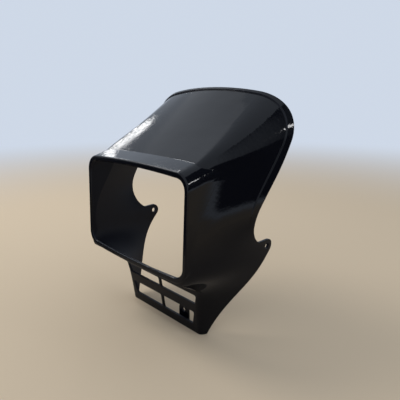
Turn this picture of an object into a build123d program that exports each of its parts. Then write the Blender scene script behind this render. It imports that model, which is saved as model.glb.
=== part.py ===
from build123d import *
import os
from math import atan, cos, radians, sin, sqrt, tan

# Headlight cowl for a motorcycle with a rectangular lamp, moulded in one piece.
# Millimetres. -Y is the front, +Z is up and +X is the rider's left.
# The origin is the middle of the line through the two ear holes.

# Moulding
wall = 2.8
cheek_slope_allowance = 0.2
hood_slope_allowance = 0.3

# Lamp opening and its rim, measured in the plane of the rim
opening_half_width = 90.0
opening_height = 114.0
opening_corner = 13.0
opening_crown = 3.4
opening_bevel = 1.0
rim_width = 6.3
rim_edge_round = 1.8
rim_centre_y = -120.2
rim_centre_z = 43.2
rim_rake = 2.9

# Lamp tube behind the rim
tube_length = 50.0
tube_side_draft = 2.9
tube_brow_rise = 14.0
tube_rear_crown = 0.4

# Hood, from the brow crease to the rear rim
crease_y = -88.0
crease_z = 114.5
hood_rear_y = 19.7
hood_rear_z = 187.7
hood_dip = 2.0
shoulder_front = 10.5
shoulder_rear = 62.2
shoulder_slope_front = 0.017
shoulder_slope_rear = 0.215

# Cheeks: half widths in the plane of the ear holes, and how they change towards the front
cheek_flare = 0.303
cheek_lean = 0.125
cheek_height = 80.0
cheek_half_width = 123.5
waist_height = 45.0
waist_half_width = 129.7
ear_height = 8.0
ear_half_width = 113.2
ear_flare = 0.04
ear_bow = 0.00087
jaw_height = -15.0
jaw_half_width = 112.0
jaw_flare = 0.05
jaw_bow = 0.00104
chin_height = -48.0
chin_half_width = 109.0
chin_flare = 0.17
chin_bow = 0.0028
foot_margin = 15.0
foot_half_width = 96.8
foot_flare = 0.404

# Underside and chin, seen from the side
under_lip = 1.2
chin_top_y = -82.0
chin_top_z = -46.0
chin_bottom_y = -73.3
chin_bottom_z = -111.0
chin_corner_round = 7.0

# Rear edge, seen from the side
rim_back_y = 29.7
rim_back_z = 160.0
rim_flank_y = 24.9
rim_flank_z = 137.7
rim_middle_y = 2.0
rim_middle_z = 100.2
rim_end_y = -31.3
rim_end_z = 54.8
scallop_y = -34.7
scallop_z = 39.0
notch_y = -16.7
ear_radius = 9.0
lower_edge_y = -33.2
lower_edge_z = -53.5
lower_end_y = -64.5
lower_end_rise = 1.5

# Bead along the rear rim, which fades out down the cheeks: its front edge is the rim moved forward and up
bead_width = 7.0
bead_rise = 4.5
bead_height = 1.4
bead_fade = 0.5

# Grille slots in the chin, measured up its face from the bottom edge
lower_slot_low = 12.3
lower_slot_high = 31.8
upper_slot_low = 44.8
upper_slot_high = 58.0
slot_half_length = 54.4
slot_end_lean = 0.25
slot_corner = 2.2
rib_width = 3.0

# Ear holes and the lower lug
ear_hole = 7.0
lug_x = 33.0
lug_inset = 2.0
lug_width = 17.0
lug_thickness = 3.0
lug_hole = 6.0
lug_hole_height = 19.0

# Construction solids: their reach beyond the part, and the stations of the body
reach = 180.0
sky = 260.0
station_margin = 9.0
station_count = 7


def along_hood(y):
    """Share of the way from the brow crease to the rear rim."""
    return (y - crease_y) / (hood_rear_y - crease_y)


def hood_line(y):
    """Height of the hood on the centre line: a chord with a shallow dip."""
    t = along_hood(y)
    return crease_z + t * (hood_rear_z - crease_z) - 4 * hood_dip * t * (1 - t)


def half_section(y, inset, lower_inset):
    """One side of the body's outline at one station, from the foot up to the crown."""
    side = inset * (1 + cheek_slope_allowance)
    low = lower_inset * (1 + cheek_slope_allowance)
    behind = max(along_hood(y), 0)
    peak = hood_line(y) - inset * (1 + hood_slope_allowance)
    slope = shoulder_slope_front + behind * (shoulder_slope_rear - shoulder_slope_front)
    radius = shoulder_front + behind * (shoulder_rear - shoulder_front) - side
    foot_z = chin_bottom_z - foot_margin
    foot = foot_half_width + foot_flare * y - low
    chin = chin_half_width + chin_flare * y - chin_bow * y ** 2 - low
    jaw = jaw_half_width + jaw_flare * y - jaw_bow * y ** 2 - low
    ear = ear_half_width + ear_flare * y - ear_bow * y ** 2 - low
    waist = waist_half_width + cheek_flare * y - (side + low) / 2
    cheek = [
        (foot, foot_z),
        (chin, chin_height),
        (jaw, jaw_height),
        (ear, ear_height),
        (waist, waist_height),
    ]
    # The shoulder is an arc tangent to the leaning cheek and to the crown, which is a parabola.
    lean = atan(cheek_lean)
    top = atan(1 / slope)
    fall = peak - radius * (sin(top) + slope / 2 * cos(top))
    upright = cheek_half_width + cheek_flare * y - side - radius / cos(lean)
    centre_x = (upright - cheek_lean * (fall - cheek_height)) / (1 - cheek_lean * slope / 2)
    centre_z = fall - slope / 2 * centre_x
    shoulder = []
    for turn in (lean, (lean + top) / 2, top):
        shoulder.append((centre_x + radius * cos(turn), centre_z + radius * sin(turn)))
    return cheek, shoulder, slope


def body_section(y, inset, lower_inset):
    """The body's outline at one station: a cheek and a shoulder on each side, the crown and the foot."""
    cheek, shoulder, slope = half_section(y, inset, lower_inset)
    edges = []
    for side in (1, -1):
        line = [Vector(side * x, y, z) for x, z in cheek]
        bend = [Vector(side * x, y, z) for x, z in shoulder]
        upwards = Vector(-side * cheek_lean, 0, 1)
        edges.append(Spline(*line, bend[0], tangents=[line[1] - line[0], upwards]))
        edges.append(ThreePointArc(*bend))
    half, high = shoulder[2]
    edges.append(Bezier(Vector(half, y, high), Vector(0, y, high + slope * half), Vector(-half, y, high)))
    foot, low = cheek[0]
    edges.append(Line(Vector(-foot, y, low), Vector(foot, y, low)))
    return make_face(edges)


def body_solid(inset, lower_inset):
    """The hood, cheeks and chin as one flaring solid, lofted from front to rear."""
    front = rim_centre_y - station_margin
    step = (rim_back_y + station_margin - front) / (station_count - 1)
    return loft([body_section(front + i * step, inset, lower_inset) for i in range(station_count)])


def at(y, z):
    """A point of the side view, on the plane of symmetry."""
    return Vector(0, y, z)


def rim_plane_y(z):
    return rim_centre_y + (z - rim_centre_z) * tan(radians(rim_rake))


def body_limits(inset):
    """Side view of the body's front, underside, chin and foot."""
    rim_bottom = rim_centre_z - (opening_height / 2 + rim_width) * cos(radians(rim_rake))
    under_z = rim_bottom + under_lip
    points = [
        at(rim_plane_y(sky) + rim_edge_round, sky),
        at(rim_plane_y(under_z) + rim_edge_round, under_z),
        at(chin_top_y, chin_top_z),
        at(chin_bottom_y, chin_bottom_z),
        at(reach, chin_bottom_z),
        at(reach, sky),
    ]
    face = make_face(Polyline(*points, close=True))
    if inset:
        face = offset(face, -inset, kind=Kind.INTERSECTION)
    return extrude(face, reach, both=True)


def body(inset):
    """The flaring solid cut to its side view, with the chin's edges rounded."""
    solid = body_solid(inset, inset) & body_limits(inset)
    edges = []
    for edge in solid.edges():
        middle = edge @ 0.5
        in_front = middle.Y < chin_bottom_y + 2 * wall
        if in_front and abs(middle.X) > rib_width and chin_bottom_z + 2 * wall < middle.Z < jaw_height:
            edges.append(edge)
    return fillet(edges, chin_corner_round - inset)


def lamp_outline(depth, grow, share=0.0):
    """The lamp's rounded, crowned rectangle, at a depth behind the plane of the rim.

    The share runs from 0 at the rim to 1 at the tube's rear end, where the tube is wider and flatter.
    """
    rake = radians(rim_rake)
    plane = Plane((0, rim_centre_y, rim_centre_z), x_dir=(1, 0, 0), z_dir=(0, -cos(rake), sin(rake)))
    half = opening_half_width + grow + share * tube_side_draft
    top = opening_height / 2 + grow + share * tube_brow_rise
    bottom = -opening_height / 2 - grow
    high = top - opening_crown + share * (opening_crown - tube_rear_crown)
    low = bottom + opening_crown
    edges = [
        ThreePointArc((-half, high), (0, top), (half, high)),
        Line((half, high), (half, low)),
        ThreePointArc((half, low), (0, bottom), (-half, low)),
        Line((-half, low), (-half, high)),
    ]
    face = make_face(edges)
    face = fillet(face.vertices(), opening_corner + grow)
    return plane.offset(-depth) * face


def lamp_tube():
    """The tube's outside, with the rim's outer edge rounded."""
    tube = loft([lamp_outline(0, rim_width), lamp_outline(tube_length, rim_width, 1)], ruled=True)
    return fillet(tube.faces().sort_by(Axis.Y)[0].edges(), rim_edge_round)


def lamp_hollow():
    """The tube's inside, which stops one wall short of the front, and the opening through the rim."""
    inside = rim_width - wall
    front = lamp_outline(wall, inside, wall / tube_length)
    tube = loft([front, lamp_outline(tube_length, inside, 1)], ruled=True)
    bevel_front = lamp_outline(-opening_bevel, 2 * opening_bevel)
    mouth = loft([bevel_front, lamp_outline(opening_bevel, 0)], ruled=True)
    opening = loft([lamp_outline(0, 0), lamp_outline(2 * wall, 0)], ruled=True)
    return [tube, mouth, opening]


def rear_cut(forward=0.0, up=0.0):
    """All behind the rear edge (rim, scallop, ear and lower edge), or behind a moved copy of it."""
    rim_top = at(hood_rear_y, hood_rear_z + 2 * bead_height)
    rim_back = at(rim_back_y, rim_back_z)
    rim_flank = at(rim_flank_y, rim_flank_z)
    rim_middle = at(rim_middle_y, rim_middle_z)
    rim_end = at(rim_end_y, rim_end_z)
    notch = at(notch_y, ear_radius)
    ear_low = at(ear_radius * sqrt(0.5), -ear_radius * sqrt(0.5))
    lower_end = at(lower_end_y, chin_bottom_z + lower_end_rise)
    above = at(hood_rear_y, sky)
    below = chin_bottom_z - foot_margin
    edges = [
        Line(above, rim_top),
        Spline(rim_top, rim_back, rim_flank, rim_middle, rim_end),
        ThreePointArc(rim_end, at(scallop_y, scallop_z), notch),
        Line(notch, at(0, ear_radius)),
        ThreePointArc(at(0, ear_radius), at(ear_radius, 0), ear_low),
        ThreePointArc(ear_low, at(lower_edge_y, lower_edge_z), lower_end),
        Polyline(lower_end, at(lower_end_y, below), at(reach, below), at(reach, sky), above),
    ]
    return extrude(make_face(edges), reach, both=True).moved(Location((0, -forward, up)))


def rim_bead():
    """A slightly fatter copy of the body, kept only along the rear rim above the ears."""
    above_ears = Box(2 * reach, 2 * reach, sky, align=(Align.CENTER, Align.CENTER, Align.MIN))
    strip = rear_cut(bead_width, bead_rise) & (Pos(0, 0, ear_height) * above_ears)
    return body_solid(-bead_height, bead_fade) & strip


def grille_slots():
    """Two rows of slots on either side of the middle rib, drawn on the chin's face."""
    up = at(chin_top_y - chin_bottom_y, chin_top_z - chin_bottom_z).normalized()
    plane = Plane((0, chin_bottom_y, chin_bottom_z), x_dir=(1, 0, 0), z_dir=Vector(1, 0, 0).cross(up))
    slots = []
    for low, high in ((lower_slot_low, lower_slot_high), (upper_slot_low, upper_slot_high)):
        for side in (-1, 1):
            inner = side * rib_width / 2
            low_end = side * (slot_half_length + slot_end_lean * low)
            high_end = side * (slot_half_length + slot_end_lean * high)
            corners = [(inner, low), (low_end, low), (high_end, high), (inner, high)]
            face = make_face(Polyline(*corners, close=True))
            face = fillet(face.vertices(), slot_corner)
            slots.append(extrude(plane * face, 3 * wall, both=True))
    return slots


def lug_plane():
    """The middle of the lug's thickness, with its origin on the lug's hole."""
    return Plane(
        (lug_x, lower_end_y - lug_inset, chin_bottom_z + lug_hole_height),
        x_dir=(1, 0, 0),
        z_dir=(0, -1, 0),
    )


def lower_lug():
    """The round-ended lug that stands on the foot behind the lower slot."""
    half = lug_width / 2
    drop = wall / 2 - lug_hole_height
    stem = make_face(Polyline((-half, 0), (half, 0), (half, drop), (-half, drop), close=True))
    return extrude(lug_plane() * (stem + Circle(half)), lug_thickness / 2, both=True)


def drill(plane, diameter, length):
    return extrude(plane * Circle(diameter / 2), length / 2, both=True)


inside = body(wall)
cowl = body(0) + lamp_tube() - inside
for hollow in lamp_hollow():
    cowl = cowl - hollow
cowl = cowl + (rim_bead() - inside) - rear_cut()
for slot in grille_slots():
    cowl = cowl - slot
cowl = cowl + lower_lug()
cowl = cowl - drill(Plane.YZ, ear_hole, 2 * reach)
cowl = cowl - drill(lug_plane(), lug_hole, 2 * lug_thickness)

os.makedirs("parts", exist_ok=True)
export_step(cowl, "parts/headlight_cowl.step")
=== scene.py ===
# %% [markdown]
# # A headlight cowl in gloss black
# This lesson dresses the solid model of a motorcycle's headlight cowl. The cowl is one moulding: a
# rim round a rectangular lamp, a short tube behind it, a flared hood above, two drilled ears and a
# slotted chin. The solid is loaded as a fixed frame, in metres, and the box that holds it is kept,
# so that the floor can be laid at its foot.

# %% Load the frame
import bpy
from math import radians
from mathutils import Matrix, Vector


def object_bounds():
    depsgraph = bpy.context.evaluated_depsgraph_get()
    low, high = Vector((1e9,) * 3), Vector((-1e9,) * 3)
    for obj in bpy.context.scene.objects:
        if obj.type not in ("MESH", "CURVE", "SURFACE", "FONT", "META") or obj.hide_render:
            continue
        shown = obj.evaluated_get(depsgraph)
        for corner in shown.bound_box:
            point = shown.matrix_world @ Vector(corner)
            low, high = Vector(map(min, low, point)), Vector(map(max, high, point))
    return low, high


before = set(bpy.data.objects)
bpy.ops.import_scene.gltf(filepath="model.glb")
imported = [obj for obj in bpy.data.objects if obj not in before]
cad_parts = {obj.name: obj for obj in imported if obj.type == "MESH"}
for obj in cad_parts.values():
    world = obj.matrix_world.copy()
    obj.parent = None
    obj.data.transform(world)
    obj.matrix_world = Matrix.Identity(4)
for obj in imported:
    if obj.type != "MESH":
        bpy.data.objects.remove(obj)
solid_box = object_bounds()
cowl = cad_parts["headlight_cowl"]
print("cowl:", len(cowl.data.polygons), "triangles in the box", solid_box)

# %% [markdown]
# ## Sockets as values
# The finish is built from shader nodes. Nodes could be made and linked one by one, but then the
# maths is hard to read. Here a small class wraps a socket, so that a sum or a product of sockets
# is written as in Python, and one function makes every other node.

# %% Wrap a socket
class Value:
    """A socket of a material, with Python's operators on it."""

    def __init__(self, tree, socket):
        self.tree = tree
        self.socket = socket

    def maths(self, operation, first, second):
        inputs = {0: first, 1: second}
        return add_node(self.tree, "ShaderNodeMath", {"operation": operation}, inputs)["Value"]

    def __add__(self, other):
        return self.maths("ADD", self, other)

    def __radd__(self, other):
        return self.maths("ADD", other, self)

    def __sub__(self, other):
        return self.maths("SUBTRACT", self, other)

    def __rsub__(self, other):
        return self.maths("SUBTRACT", other, self)

    def __mul__(self, other):
        return self.maths("MULTIPLY", self, other)

    def __rmul__(self, other):
        return self.maths("MULTIPLY", other, self)

    def __truediv__(self, other):
        return self.maths("DIVIDE", self, other)

    def __rtruediv__(self, other):
        return self.maths("DIVIDE", other, self)

    def __abs__(self):
        return self.maths("ABSOLUTE", self, 0)

    def below(self, limit):
        """1 where the value is below the limit, and 0 elsewhere."""
        return self.maths("LESS_THAN", self, limit)

    def at_least(self, lowest):
        return self.maths("MAXIMUM", self, lowest)

    def at_most(self, highest):
        return self.maths("MINIMUM", self, highest)

    def ramp(self, start, end):
        """0 up to the start, 1 from the end on, and a straight slope between them."""
        return ((self - start) / (end - start)).at_least(0).at_most(1)


# %% Make a node
def add_node(tree, kind, settings, inputs):
    """Make a node, give it its settings and its inputs, and return its outputs by identifier."""
    node = tree.nodes.new(kind)
    for name, setting in settings.items():
        setattr(node, name, setting)
    for name, given in inputs.items():
        if isinstance(given, Value):
            tree.links.new(given.socket, node.inputs[name])
        else:
            node.inputs[name].default_value = given
    return {output.identifier: Value(tree, output) for output in node.outputs}


# %% [markdown]
# ## Inside and outside
# The solid already has the true form of the moulding and exact normals, which gloss black needs,
# so its mesh is kept as it is and only gets a finish. The mould was polished on the side that
# shows, so the inside of the cowl is duller. A second material could do that, but a mask keeps the
# moulding in one finish: seen from a point in the hollow, an outer face looks away and an inner
# face looks back, so the sign of one dot product tells them apart.

# %% Start the finish
def new_material(name):
    """A material with an empty node tree."""
    material = bpy.data.materials.new(name)
    material.use_nodes = True
    material.node_tree.nodes.clear()
    return material


gloss = new_material("gloss_black")
tree = gloss.node_tree
print("started", gloss.name)

# %% Mask the inner faces
HOLLOW_MIDDLE = (0, -0.02, 0.045)

coordinates = add_node(tree, "ShaderNodeTexCoord", {}, {})
place = coordinates["Object"]
from_middle = add_node(
    tree, "ShaderNodeVectorMath", {"operation": "SUBTRACT"}, {0: place, 1: HOLLOW_MIDDLE}
)["Vector"]
outwards = add_node(
    tree,
    "ShaderNodeVectorMath",
    {"operation": "DOT_PRODUCT"},
    {0: coordinates["Normal"], 1: from_middle},
)["Value"]
inside = outwards.below(0)
print("inner mask from", HOLLOW_MIDDLE)

# %% [markdown]
# ## The soft valley beside the lamp
# Where the lamp's tube meets the cheek, the moulding has a soft valley, while the solid's two
# faces meet in a line. The two faces could be blended in the solid, but the blend is only about a
# millimetre deep, so it is a bump: highest on the line, and falling with the square of the
# distance to nothing at the blend's width, so that the slopes of the two faces meet. The line is a
# cubic curve in the side view. The angle between the faces changes with the height, and the blend
# is narrower below, where the line runs close to the rim.

# %% Follow the line of the valley
# factors of 1, of the height in metres, of its square and of its cube
LINE_FACTORS = (-0.11333, -0.4132, 15.305, -71.858)
SLOPE_FACTORS = (0.0315, 3.7016, -27.44)


def polynomial(value, factors):
    """A polynomial of a value, from its factors."""
    total = factors[-1]
    for factor in reversed(factors[:-1]):
        total = total * value + factor
    return total


axes = add_node(tree, "ShaderNodeSeparateXYZ", {}, {"Vector": place})
across, along, up = axes["X"], axes["Y"], axes["Z"]
line = polynomial(up, LINE_FACTORS)
slope = polynomial(up, SLOPE_FACTORS)
print("valley line starts at", LINE_FACTORS[0])

# %% Fill the valley
RIM_BACK = -0.1195
LEAST_WIDTH = 0.003
BLEND_WIDTH = 0.016
# the line leans, so the way across it is shorter than the way along the cowl
LINE_LEAN = 0.86
# heights and half widths where the blend starts and where it is full
FOOT_FADE = (0.0, 0.0167)
TOP_FADE = (0.1, 0.0917)
SIDE_FADE = (0.085, 0.09)

width = (line - RIM_BACK).at_least(LEAST_WIDTH).at_most(BLEND_WIDTH)
nearness = (1 - abs(along - line) * LINE_LEAN / width).at_least(0)
extent = up.ramp(*FOOT_FADE) * up.ramp(*TOP_FADE) * abs(across).ramp(*SIDE_FADE)
fill = slope * width / 2 * nearness * nearness * extent * (1 - inside)
print("valley blended over", BLEND_WIDTH * 2, "m")

# %% [markdown]
# ## Orange peel, slight waves and soft edges
# Moulded gloss plastic has a slight orange peel, a ripple of a few millimetres that breaks a
# strong highlight into specks. It is deeper on the left of the hood, where the highlight breaks
# up, than on the right, where mirrored lines run smooth. Where a thick place has cooled slower
# than its neighbours, the face also sinks by a tenth of a millimetre, so that those lines waver.
# The edges are never quite sharp: a mould leaves them rounded by a millimetre, and that thin round
# catches the light. All three could be modelled in the mesh, but they are so shallow that a change
# of normal is enough. A bevel node rounds the edges first, and a bump on top of it adds the ripple
# and the waves.

# %% Ripple the surface
PEEL_SCALE = 300.0
PEEL_DETAIL = 2.0
PEEL_HEIGHT = 0.00006
WAVE_SCALE = 26.0
WAVE_DETAIL = 1.0
WAVE_HEIGHT = 0.00036
# how much deeper the peel is on the left of the hood, and where that side starts and is full
DEEPER_PEEL = 2.4
DEEPER_ACROSS = (0.0014, -0.07)
DEEPER_UP = (0.075, 0.1)


def noise(scale, detail):
    """Noise over the moulding, with about as many lumps to the metre as the scale."""
    inputs = {"Vector": place, "Scale": scale, "Detail": detail}
    return add_node(place.tree, "ShaderNodeTexNoise", {}, inputs)["Fac"]


deeper = across.ramp(*DEEPER_ACROSS) * up.ramp(*DEEPER_UP)
peel = noise(PEEL_SCALE, PEEL_DETAIL) * (deeper * DEEPER_PEEL + 1) * PEEL_HEIGHT
waves = noise(WAVE_SCALE, WAVE_DETAIL) * WAVE_HEIGHT
print("orange peel", PEEL_HEIGHT, "m high, waves", WAVE_HEIGHT, "m high")

# %% Round the edges
EDGE_ROUND = 0.001
EDGE_SAMPLES = 6

rounded = add_node(
    tree, "ShaderNodeBevel", {"samples": EDGE_SAMPLES}, {"Radius": EDGE_ROUND}
)["Normal"]
# the heights are in metres, so the bump has its full strength over a distance of 1
ripple = add_node(
    tree,
    "ShaderNodeBump",
    {},
    {"Height": peel + waves + fill, "Strength": 1.0, "Distance": 1.0, "Normal": rounded},
)["Normal"]
print("edges rounded by", EDGE_ROUND, "m")

# %% [markdown]
# ## Gloss black
# The black is nearly neutral, with a touch of blue. A faint haze where hands have wiped it makes
# the black a little paler and the gloss a little duller in places, and fine flecks in the skin of
# the moulding dull the gloss on a smaller scale. The inside is satin, and its black is a paler
# navy
# that is painted shade: the tone the hollow takes in shade. One shader could do both sides with a
# masked roughness and colour, but two shaders and a mask are easier to read.

# %% Spread the haze and the flecks
HAZE_SCALE = 22.0
HAZE_DETAIL = 5.0
FLECK_SCALE = 620.0
FLECK_DETAIL = 1.0
# only the upper half of the noise makes flecks
FLECK_RANGE = (0.5, 0.611)

haze = noise(HAZE_SCALE, HAZE_DETAIL)
flecks = noise(FLECK_SCALE, FLECK_DETAIL).ramp(*FLECK_RANGE)
print("flecks about", round(1 / FLECK_SCALE, 4), "m apart")

# %% Polish the outside
GLOSS_BLACK = (0.0014, 0.0016, 0.0029, 1)
HAZE_BLACK = (0.0026, 0.0028, 0.0043, 1)
GLOSS_ROUGHNESS = 0.015
HAZE_ROUGHNESS = 0.03
FLECK_ROUGHNESS = 0.06
GLOSS_IOR = 1.36


def surface(tree, inputs):
    """A surface of one kind, such as gloss, satin or felt."""
    return add_node(tree, "ShaderNodeBsdfPrincipled", {}, inputs)["BSDF"]


# a Mix node has its factor at input 0, and its two colours at inputs 6 and 7
black = add_node(
    tree, "ShaderNodeMix", {"data_type": "RGBA"}, {0: haze, 6: GLOSS_BLACK, 7: HAZE_BLACK}
)["Result_Color"]
roughness = GLOSS_ROUGHNESS + haze * HAZE_ROUGHNESS + flecks * FLECK_ROUGHNESS
polished = surface(
    tree, {"Base Color": black, "Roughness": roughness, "IOR": GLOSS_IOR, "Normal": ripple}
)
print("polished black from", GLOSS_BLACK[:3], "to", HAZE_BLACK[:3])

# %% Dull the inside
# the navy of the inside is painted shade, the tone of the hollow in shade; the satin is its own
# finish
INNER_SHADE_BLACK = (0.0028, 0.0034, 0.0085, 1)
SATIN_ROUGHNESS = 0.38
SATIN_HAZE = 0.1
SATIN_IOR = 1.33

satin = surface(
    tree,
    {
        "Base Color": INNER_SHADE_BLACK,
        "Roughness": SATIN_ROUGHNESS + haze * SATIN_HAZE,
        "IOR": SATIN_IOR,
        "Normal": ripple,
    },
)
print("satin inside with a roughness from", SATIN_ROUGHNESS)


# %% Dress the cowl
def mix(tree, amount, first, second):
    """The first surface where the amount is 0, and the second where it is 1."""
    inputs = {"Fac": amount, 1: first, 2: second}
    return add_node(tree, "ShaderNodeMixShader", {}, inputs)["Shader"]


def show(tree, shader):
    """Send a shader to the material's output."""
    add_node(tree, "ShaderNodeOutputMaterial", {}, {"Surface": shader})


show(tree, mix(tree, inside, polished, satin))
cowl.material_slots[0].material = gloss
print("finish:", gloss.name, "with", len(tree.nodes), "nodes")

# %% [markdown]
# ## The floor
# The cowl stands on a plain pale floor, which carries its shadow. The floor could end in a hard
# horizon, but here it melts into the studio's colour a little way off, so that every view has the
# same quiet background. It has no gloss of its own.

# %% Lay the floor
FLOOR_SIZE = 60
floor_height = solid_box[0][2]

bpy.ops.object.select_all(action="DESELECT")
bpy.ops.mesh.primitive_plane_add(size=FLOOR_SIZE, location=(0, 0, floor_height))
floor = bpy.context.object
floor.name = "floor"
print("floor at", round(floor_height, 4))

# %% Fade the floor
STUDIO_COLOUR = (0.62, 0.69, 0.80, 1)
STUDIO_LEVEL = 1.0
FLOOR_COLOUR = (0.62, 0.49, 0.34, 1)
FLOOR_ROUGHNESS = 0.9
FLOOR_GLOSS = 0.0
FADE_START = 0.6
FADE_END = 2.2

pale = new_material("pale_floor")
tree = pale.node_tree
near = surface(
    tree,
    {
        "Base Color": FLOOR_COLOUR,
        "Roughness": FLOOR_ROUGHNESS,
        "Specular IOR Level": FLOOR_GLOSS,
    },
)
far = add_node(
    tree, "ShaderNodeEmission", {}, {"Color": STUDIO_COLOUR, "Strength": STUDIO_LEVEL}
)["Emission"]
ground = add_node(tree, "ShaderNodeTexCoord", {}, {})["Object"]
distance = add_node(tree, "ShaderNodeVectorMath", {"operation": "LENGTH"}, {0: ground})["Value"]
fade = add_node(
    tree,
    "ShaderNodeMapRange",
    {"interpolation_type": "SMOOTHSTEP"},
    {"Value": distance, "From Min": FADE_START, "From Max": FADE_END},
)["Result"]
show(tree, mix(tree, fade, near, far))
floor.data.materials.append(pale)
print("floor fades from", FADE_START, "to", FADE_END, "m")

# %% [markdown]
# ## Dark boards
# Gloss black shows little but what it mirrors, so a photographer stands dark boards beside a black
# product to keep its sides deep. A darker studio could do that too, but then the background would
# be dark as well. The boards are flat planes of felt, and they show in the gloss only: they are
# hidden from the camera and cast no shadow, so that the studio stays plain in every view. The felt
# thins out towards the edges of a board, and over a longer stretch at one end, because a hard edge
# would draw a ragged line in the ripple of the gloss. A thin mat on the floor, also seen only in
# the
# gloss, is painted shade: it darkens the floor that the jaw mirrors, as if that floor lay in
# shade.

# %% Weave the felt of the boards
FELT_COLOUR = (0.05, 0.055, 0.075, 1)
FELT_ROUGHNESS = 0.9
# a board is a plane of size 1 that is stretched, so its own edges are at 0.5
BOARD_EDGE = 0.5
# the soft end is a share of the board, and the soft border is in metres
SOFT_END = 0.3
SOFT_BORDER = 0.07


def dark_felt(name, size, density):
    """Dark felt that thins out towards its edges; the density says how much of it is thread."""
    felt = new_material(name)
    tree = felt.node_tree
    thread = surface(tree, {"Base Color": FELT_COLOUR, "Roughness": FELT_ROUGHNESS})
    gaps = add_node(tree, "ShaderNodeBsdfTransparent", {}, {})["BSDF"]
    spot = add_node(tree, "ShaderNodeTexCoord", {}, {})["Object"]
    sides = add_node(tree, "ShaderNodeSeparateXYZ", {}, {"Vector": spot})
    cover = density * sides["X"].ramp(-BOARD_EDGE, SOFT_END - BOARD_EDGE)
    for side, length in zip((sides["X"], sides["Y"]), size):
        cover = cover * abs(side).ramp(BOARD_EDGE, BOARD_EDGE - SOFT_BORDER / length)
    show(tree, mix(tree, cover, gaps, thread))
    return felt


print("felt thins out over", SOFT_BORDER, "m at its edges")


# %% Make a board
def set_board(name, middle, size, turns, density=1.0):
    """A dark board that only shows in the gloss."""
    bpy.ops.object.select_all(action="DESELECT")
    bpy.ops.mesh.primitive_plane_add(
        size=1, location=middle, rotation=[radians(turn) for turn in turns]
    )
    board = bpy.context.object
    board.name = name
    board.scale = (*size, 1)
    board.visible_camera = False
    board.visible_diffuse = False
    board.visible_shadow = False
    board.data.materials.append(dark_felt(name + "_felt", size, density))
    print(name, "of", size, "m")


# %% Set up the boards
SHADE_MAT_HEIGHT = 0.001
SHADE_MAT_DENSITY = 0.5

set_board("low_board", middle=(1.1, -0.4, 0.24), size=(1.77, 0.45), turns=(90, 0, 90))
set_board("tall_board", middle=(0.711, 0.68, 1.25), size=(1.954, 2.47), turns=(90, 0, 147))
set_board("front_board", middle=(-0.22, -0.30, 0.0), size=(0.67, 0.29), turns=(90, 0, -50))
# the floor mat is painted shade: seen only in the gloss, it darkens the mirrored floor as if it
# lay in shade
set_board(
    "floor_shade_mat",
    middle=(0.1, 0.0, floor_height + SHADE_MAT_HEIGHT),
    size=(0.97, 1.47),
    turns=(0, 0, 180),
    density=SHADE_MAT_DENSITY,
)

# %% [markdown]
# ## The camera
# The camera stands to the front and right of the cowl, a little above it. It could be placed by
# eye, but pairs of features, such as the two ears, only line up from one spot, so its place and
# its turn were worked out with their help. The focal length is known in pixels of the picture, and
# the lens wants it in millimetres of the sensor, so it is scaled by the sensor's width.

# %% Place the camera
IMAGE_WIDTH = 400
FOCAL_PIXELS = 385
SENSOR_WIDTH = 36
CAMERA_PLACE = (0.365, -0.3732, 0.1787)
CAMERA_DOWN = 15.16
CAMERA_ROUND = 44.66

lens = bpy.data.cameras.new("camera")
lens.sensor_width = SENSOR_WIDTH
lens.lens = FOCAL_PIXELS / IMAGE_WIDTH * SENSOR_WIDTH
camera = bpy.data.objects.new("camera", lens)
camera.location = CAMERA_PLACE
# a camera that isn't turned looks straight down, and 90 degrees lift it to the horizon
camera.rotation_euler = (radians(90 - CAMERA_DOWN), 0, radians(CAMERA_ROUND))
bpy.context.scene.collection.objects.link(camera)
bpy.context.scene.camera = camera
print("camera at", CAMERA_PLACE, "with a lens of", round(lens.lens, 2), "mm")

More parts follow.
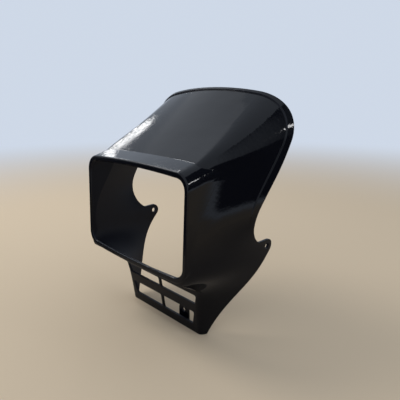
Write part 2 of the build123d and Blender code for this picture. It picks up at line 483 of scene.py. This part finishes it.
# %% [markdown]
# ## The lights
# One large lamp could light the cowl, but gloss black shows every lamp as a shape, and a large one
# would paint a pale patch over it. So the studio itself gives most of the light, from all round,
# and one soft lamp above makes the shadow. The others are small and weak, and are there for what
# the gloss mirrors: a window and a pane beside it for the bright streak on the left shoulder, a
# spark for the corner of the rim and the bead at the rear, a narrow strip that only shows in the
# rounded line between brow and hood, and a large faint panel for the top of the hood.

# %% Make a lamp
def soft_light(name, spot, target, size, power, roll=0):
    """A rectangular lamp that looks at a point, rolled about its line of sight."""
    light = bpy.data.lights.new(name, "AREA")
    light.shape = "RECTANGLE"
    light.size, light.size_y = size
    light.energy = power
    lamp = bpy.data.objects.new(name, light)
    lamp.location = spot
    sight = Vector(target) - Vector(spot)
    lamp.rotation_euler = sight.to_track_quat("-Z", "Y").to_euler()
    lamp.rotation_euler.rotate_axis("Z", radians(roll))
    lamp.visible_camera = False
    bpy.context.scene.collection.objects.link(lamp)
    print(name, "of", power, "W at", spot)


# %% Hang the lights
soft_light(
    "window",
    spot=(-0.70, 0.105, 0.485),
    target=(-0.08, -0.06, 0.12),
    size=(0.15, 0.042),
    power=0.22,
)
soft_light(
    "pane",
    spot=(-0.70, 0.20, 0.345),
    target=(-0.08, -0.10, 0.10),
    size=(0.045, 0.03),
    power=0.035,
)
soft_light(
    "spark",
    spot=(1.06, 0.40, 0.727),
    target=(0.0945, -0.113, 0.095),
    size=(0.075, 0.075),
    power=0.36,
)
soft_light(
    "strip",
    spot=(-0.70, 0.365, 0.755),
    target=(0.0, -0.088, 0.115),
    size=(0.03, 0.26),
    power=0.27,
    roll=17,
)
soft_light("overhead", spot=(-1.2, -0.6, 1.4), target=(0, 0, 0.05), size=(0.8, 0.8), power=12)
soft_light("panel", spot=(-0.95, 0.28, 1.25), target=(0, 0, 0.12), size=(0.7, 0.7), power=0.3)

# %% Light the studio
world = bpy.data.worlds.new("studio")
world.use_nodes = True
background = world.node_tree.nodes["Background"]
background.inputs["Color"].default_value = STUDIO_COLOUR
background.inputs["Strength"].default_value = STUDIO_LEVEL
bpy.context.scene.world = world
bpy.context.scene.view_settings.view_transform = "Standard"
print("studio lit at a level of", STUDIO_LEVEL)
